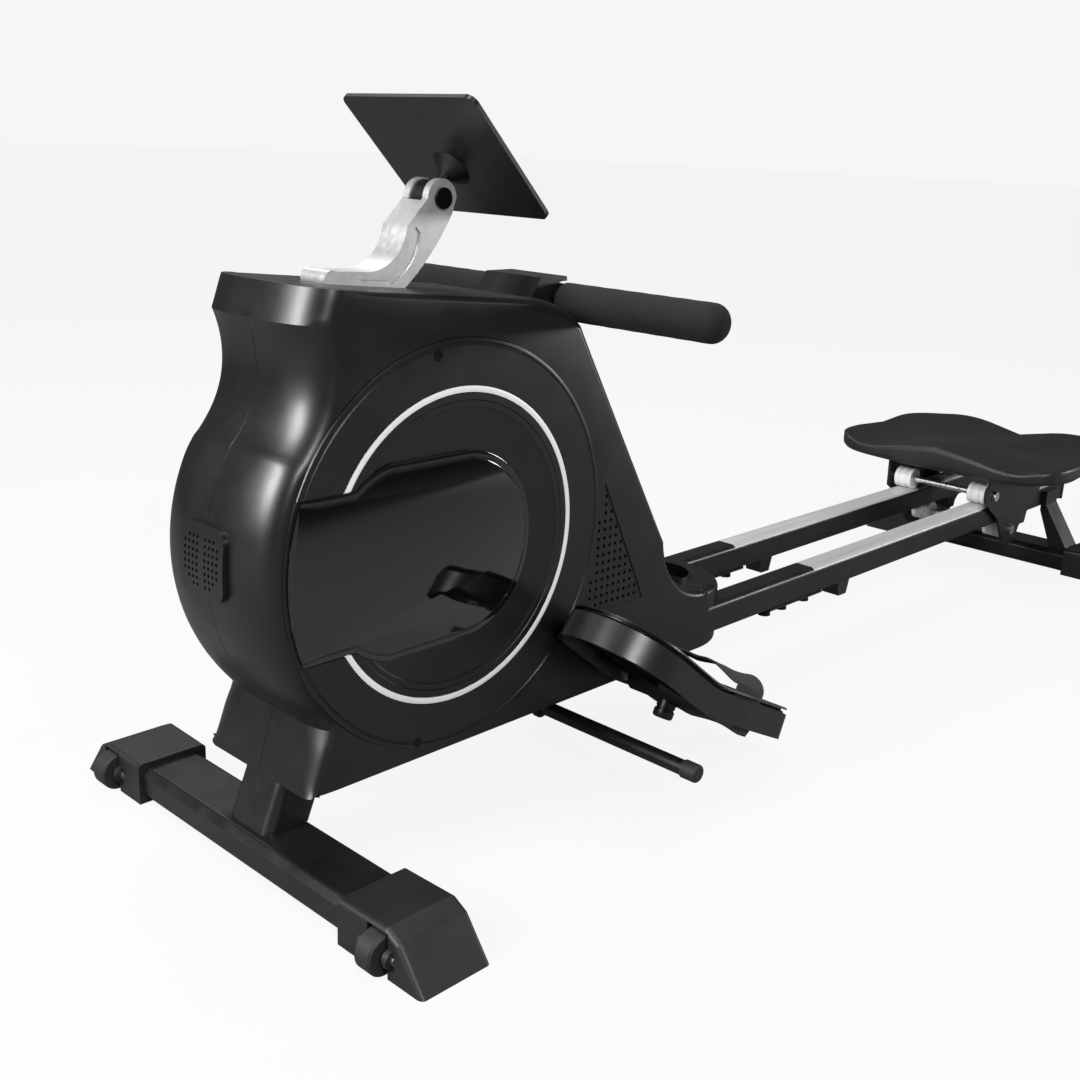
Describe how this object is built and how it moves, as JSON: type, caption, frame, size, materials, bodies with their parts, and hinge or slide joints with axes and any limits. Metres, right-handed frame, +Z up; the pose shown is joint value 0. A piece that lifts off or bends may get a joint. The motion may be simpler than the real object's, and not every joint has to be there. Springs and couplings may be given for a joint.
{
  "type": "rowing machine",
  "caption": "Magnetic rowing machine with a drum-shaped flywheel housing, twin slide rails, a rolling seat, tilting pedals, pull handle and tablet holder.",
  "frame": {"origin": "on the floor under the centre of the machine's bounding box", "axes": "+X from the flywheel housing towards the rear of the rails, +Y to the seated user's right, +Z up"},
  "size_m": [1.623, 0.534, 0.6833],
  "materials": {
    "housing_plastic": "fine spark-eroded black ABS",
    "gloss_black": "polished piano black",
    "ring_white": "satin white inlay",
    "frame_steel": "black powder coat",
    "cast_iron": "machined casting",
    "zinc_steel": "bright zinc plate",
    "arm_silver": "bead-blasted silver",
    "strip_silver": "satin anodised",
    "roller_white": "moulded nylon",
    "rubber_black": "matte rubber",
    "cap_plastic": "textured black polypropylene",
    "foam_black": "closed-cell foam",
    "seat_black": "moulded polyurethane skin",
    "strap_black": "woven nylon webbing",
    "screw_black": "black oxide"
  },
  "bodies": {
    "frame": {"front_stabilizer_tube": "frame_steel", "front_end_cap_left": "cap_plastic", "front_end_cap_right": "cap_plastic", "transport_wheel_bolts": "zinc_steel", "main_frame": "frame_steel", "mechanism_plates": "frame_steel", "housing_left": "housing_plastic", "housing_right": "housing_plastic", "disc_cover_left": "housing_plastic", "disc_cover_right": "housing_plastic", "accent_rings": "ring_white", "gloss_panels": "gloss_black", "cover_screws": "screw_black", "front_vent": "housing_plastic", "side_grilles": "housing_plastic", "cup_holder": "housing_plastic", "handle_dock": "housing_plastic", "tablet_arm": "arm_silver", "hinge_bolt": "screw_black", "front_rails": "frame_steel", "rear_rail_left": "frame_steel", "rear_rail_right": "frame_steel", "running_strips": "strip_silver", "splice_plates": "frame_steel", "splice_knobs": "screw_black", "stop_blocks": "rubber_black", "rail_end_caps": "cap_plastic", "rear_stabilizer_tube": "frame_steel", "rear_legs": "frame_steel", "rear_end_caps": "cap_plastic", "rest_rod": "frame_steel", "rest_bracket": "frame_steel", "rest_rod_caps": "rubber_black", "pedal_axle": "zinc_steel", "drive_axles": "zinc_steel", "drive_belt": "rubber_black", "recoil_spring": "zinc_steel"},
    "seat_trolley": {"seat_pad": "seat_black", "seat_carriage": "frame_steel", "trolley_axles": "zinc_steel"},
    "front_roller_pair": {"front_upper_rollers": "roller_white"},
    "rear_roller_pair": {"rear_upper_rollers": "roller_white"},
    "lower_roller_pair": {"lower_rollers": "roller_white"},
    "handle": {"handle_bar": "frame_steel", "foam_grips": "foam_black", "pull_strap": "strap_black"},
    "spool": {"strap_spool": "housing_plastic"},
    "pulley": {"drive_pulley": "housing_plastic"},
    "flywheel_body": {"flywheel": "cast_iron", "flywheel_bearings": "zinc_steel"},
    "knob": {"tension_knob": "housing_plastic"},
    "magnet_arm": {"magnet_bracket": "zinc_steel"},
    "left_pedal": {"pedal_left": "housing_plastic", "pedal_strap_left": "strap_black"},
    "right_pedal": {"pedal_right": "housing_plastic", "pedal_strap_right": "strap_black"},
    "left_wheel": {"transport_wheel_left": "rubber_black"},
    "right_wheel": {"transport_wheel_right": "rubber_black"},
    "tray": {"tray_stem": "housing_plastic", "tablet_tray": "housing_plastic"}
  },
  "joints": [
    {"name": "seat_slide", "type": "slide", "parent": "frame", "child": "seat_trolley", "axis": [1, 0, 0], "range_m": [-0.45, 0.042]},
    {"name": "front_roller_turn", "type": "hinge", "parent": "seat_trolley", "child": "front_roller_pair", "pos_m": [0.5245, 0, 0.15355], "axis": [0, 1, 0], "range_deg": [-1613, 152]},
    {"name": "rear_roller_turn", "type": "hinge", "parent": "seat_trolley", "child": "rear_roller_pair", "pos_m": [0.6705, 0, 0.15355], "axis": [0, 1, 0], "range_deg": [-1613, 152]},
    {"name": "lower_roller_turn", "type": "hinge", "parent": "seat_trolley", "child": "lower_roller_pair", "pos_m": [0.5975, 0, 0.08695], "axis": [0, 1, 0], "range_deg": [-152, 1613]},
    {"name": "handle_pull", "type": "slide", "parent": "frame", "child": "handle", "axis": [1, 0, 0], "range_m": [0, 1], "stiffness_N_per_m": 15, "springref_m": -0.6},
    {"name": "spool_turn", "type": "hinge", "parent": "frame", "child": "spool", "pos_m": [-0.4925, 0, 0.455], "axis": [0, 1, 0], "range_deg": [0, 1400]},
    {"name": "flywheel_spin", "type": "hinge", "parent": "frame", "child": "flywheel_body", "pos_m": [-0.5925, 0, 0.289], "axis": [0, 1, 0], "continuous": true},
    {"name": "pulley_spin", "type": "hinge", "parent": "frame", "child": "pulley", "pos_m": [-0.4925, 0, 0.455], "axis": [0, 1, 0], "continuous": true},
    {"name": "knob_turn", "type": "hinge", "parent": "frame", "child": "knob", "pos_m": [-0.3565, 0, 0.358], "axis": [0.8507, 0, 0.5256], "range_deg": [0, 278]},
    {"name": "magnet_swing", "type": "hinge", "parent": "frame", "child": "magnet_arm", "pos_m": [-0.5175, 0, 0.1591], "axis": [0, 1, 0], "range_deg": [0, 8]},
    {"name": "left_pedal_tilt", "type": "hinge", "parent": "frame", "child": "left_pedal", "pos_m": [-0.3545, -0.159, 0.104], "axis": [0, 1, 0], "range_deg": [-38, 6]},
    {"name": "right_pedal_tilt", "type": "hinge", "parent": "frame", "child": "right_pedal", "pos_m": [-0.3545, 0.159, 0.104], "axis": [0, 1, 0], "range_deg": [-38, 6]},
    {"name": "left_wheel_spin", "type": "hinge", "parent": "frame", "child": "left_wheel", "pos_m": [-0.7905, -0.212, 0.0196], "axis": [0, 1, 0], "continuous": true},
    {"name": "right_wheel_spin", "type": "hinge", "parent": "frame", "child": "right_wheel", "pos_m": [-0.7905, 0.212, 0.0196], "axis": [0, 1, 0], "continuous": true},
    {"name": "tray_tilt", "type": "hinge", "parent": "frame", "child": "tray", "pos_m": [-0.5615, 0, 0.596], "axis": [0, 1, 0], "range_deg": [-30, 30]}
  ],
  "couplings": [
    {"joint": "front_roller_turn", "follows": "seat_slide", "rad_per_m": 62.5},
    {"joint": "rear_roller_turn", "follows": "seat_slide", "rad_per_m": 62.5},
    {"joint": "lower_roller_turn", "follows": "seat_slide", "rad_per_m": -62.5},
    {"joint": "spool_turn", "follows": "handle_pull", "rad_per_m": 24.331},
    {"joint": "pulley_spin", "follows": "flywheel_spin", "ratio": 0.3819},
    {"joint": "knob_turn", "follows": "magnet_swing", "ratio": 33.75}
  ]
}
